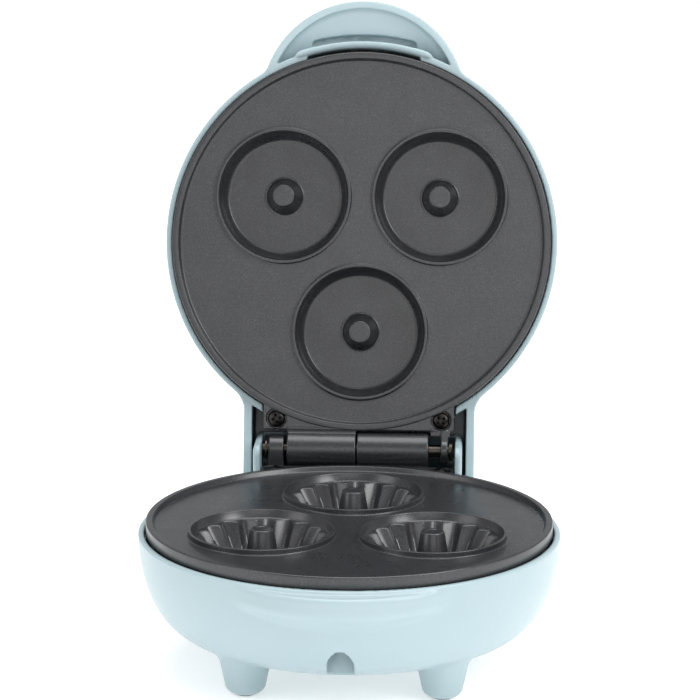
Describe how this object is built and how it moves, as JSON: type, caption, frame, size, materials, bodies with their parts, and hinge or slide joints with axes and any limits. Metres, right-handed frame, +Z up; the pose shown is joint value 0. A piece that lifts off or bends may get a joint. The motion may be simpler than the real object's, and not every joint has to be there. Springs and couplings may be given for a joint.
{
  "type": "mini donut maker",
  "caption": "Round countertop donut maker with fluted ring wells, a bowl-shaped base on feet and a hinged domed lid with a front handle.",
  "frame": {"origin": "middle of the footprint of the whole machine with its lid open, on the surface that the feet stand on", "axes": "+Z up, -Y to the front where the handle is, +X to the right seen from the front; the hinge pin lies along X"},
  "size_m": [0.1288, 0.1924, 0.1921],
  "materials": {
    "housing": "pale aqua moulded plastic, semi-gloss",
    "plate": "die-cast aluminium with dark grey speckled non-stick coating, satin",
    "pads": "matt grey rubber",
    "element": "dull heater sheath",
    "sheet": "bright pressed sheet",
    "black_screw": "blackened steel, satin",
    "bright_screw": "zinc plated",
    "thermostat": "phenolic body",
    "fuse": "tinned case",
    "block": "cream moulding",
    "gland": "black moulding",
    "pin": "plain steel",
    "clip": "spring steel",
    "red_lens": "clear red",
    "green_lens": "clear green",
    "board": "paper laminate",
    "lamp": "small glass lamp"
  },
  "bodies": {
    "base": {"lower_housing": "housing", "lower_plate": "plate", "foot_pads": "pads", "lower_heating_element": "element", "lower_element_clips": "sheet", "lower_heat_shield": "sheet", "thermal_fuse_clip": "sheet", "lower_plate_screws": "black_screw", "front_screw": "black_screw", "lower_shield_screw": "bright_screw", "terminal_block_screws": "bright_screw", "thermostat": "thermostat", "thermal_fuse": "fuse", "terminal_block": "block", "cord_gland": "gland", "hinge_pin": "pin", "hinge_pin_clip": "clip"},
    "lid": {"upper_housing": "housing", "upper_plate": "plate", "upper_heating_element": "element", "upper_element_clips": "sheet", "upper_heat_shield": "sheet", "upper_shield_screw": "bright_screw", "upper_plate_screws": "black_screw", "power_lens": "red_lens", "ready_lens": "green_lens", "lamp_board": "board", "lamp_board_screws": "bright_screw", "indicator_lamps": "lamp"}
  },
  "joints": [
    {"name": "lid_hinge", "type": "hinge", "parent": "base", "child": "lid", "pos_m": [0, 0.0411, 0.0483], "axis": [1, 0, 0], "range_deg": [0, 102.4]}
  ]
}
